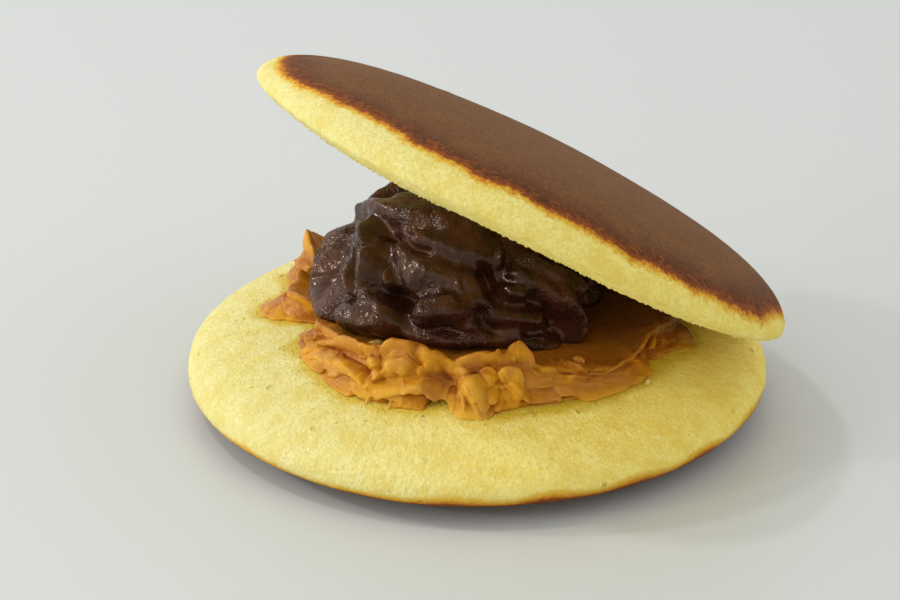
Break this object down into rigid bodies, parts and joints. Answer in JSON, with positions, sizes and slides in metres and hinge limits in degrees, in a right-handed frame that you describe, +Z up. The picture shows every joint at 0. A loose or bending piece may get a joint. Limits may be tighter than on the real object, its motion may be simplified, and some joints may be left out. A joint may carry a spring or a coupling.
{
  "type": "dorayaki",
  "caption": "Opened sponge pancake sandwich: a browned round cake leans on a scoop of bean paste set in peanut butter spread over the lower cake.",
  "frame": {"origin": "middle of the flat spot on the lower cake's browned side, on which the food rests", "axes": "+Z up; -Y towards the open side that shows the fillings; +X towards the low edge of the upper cake"},
  "size_m": [0.0993, 0.0988, 0.0636],
  "materials": {
    "sponge": "matte fine-pored yellow sponge, browned on the pan side",
    "crust": "matte cocoa-brown pan crust over a yellow sponge rim",
    "peanut_butter": "satin, torn and layered, with small nut pieces",
    "bean_paste": "moist and glossy, lumpy with cooked beans"
  },
  "bodies": {
    "root": {"lower_cake": "sponge", "peanut_butter": "peanut_butter", "bean_paste": "bean_paste", "upper_cake": "crust"}
  },
  "joints": []
}
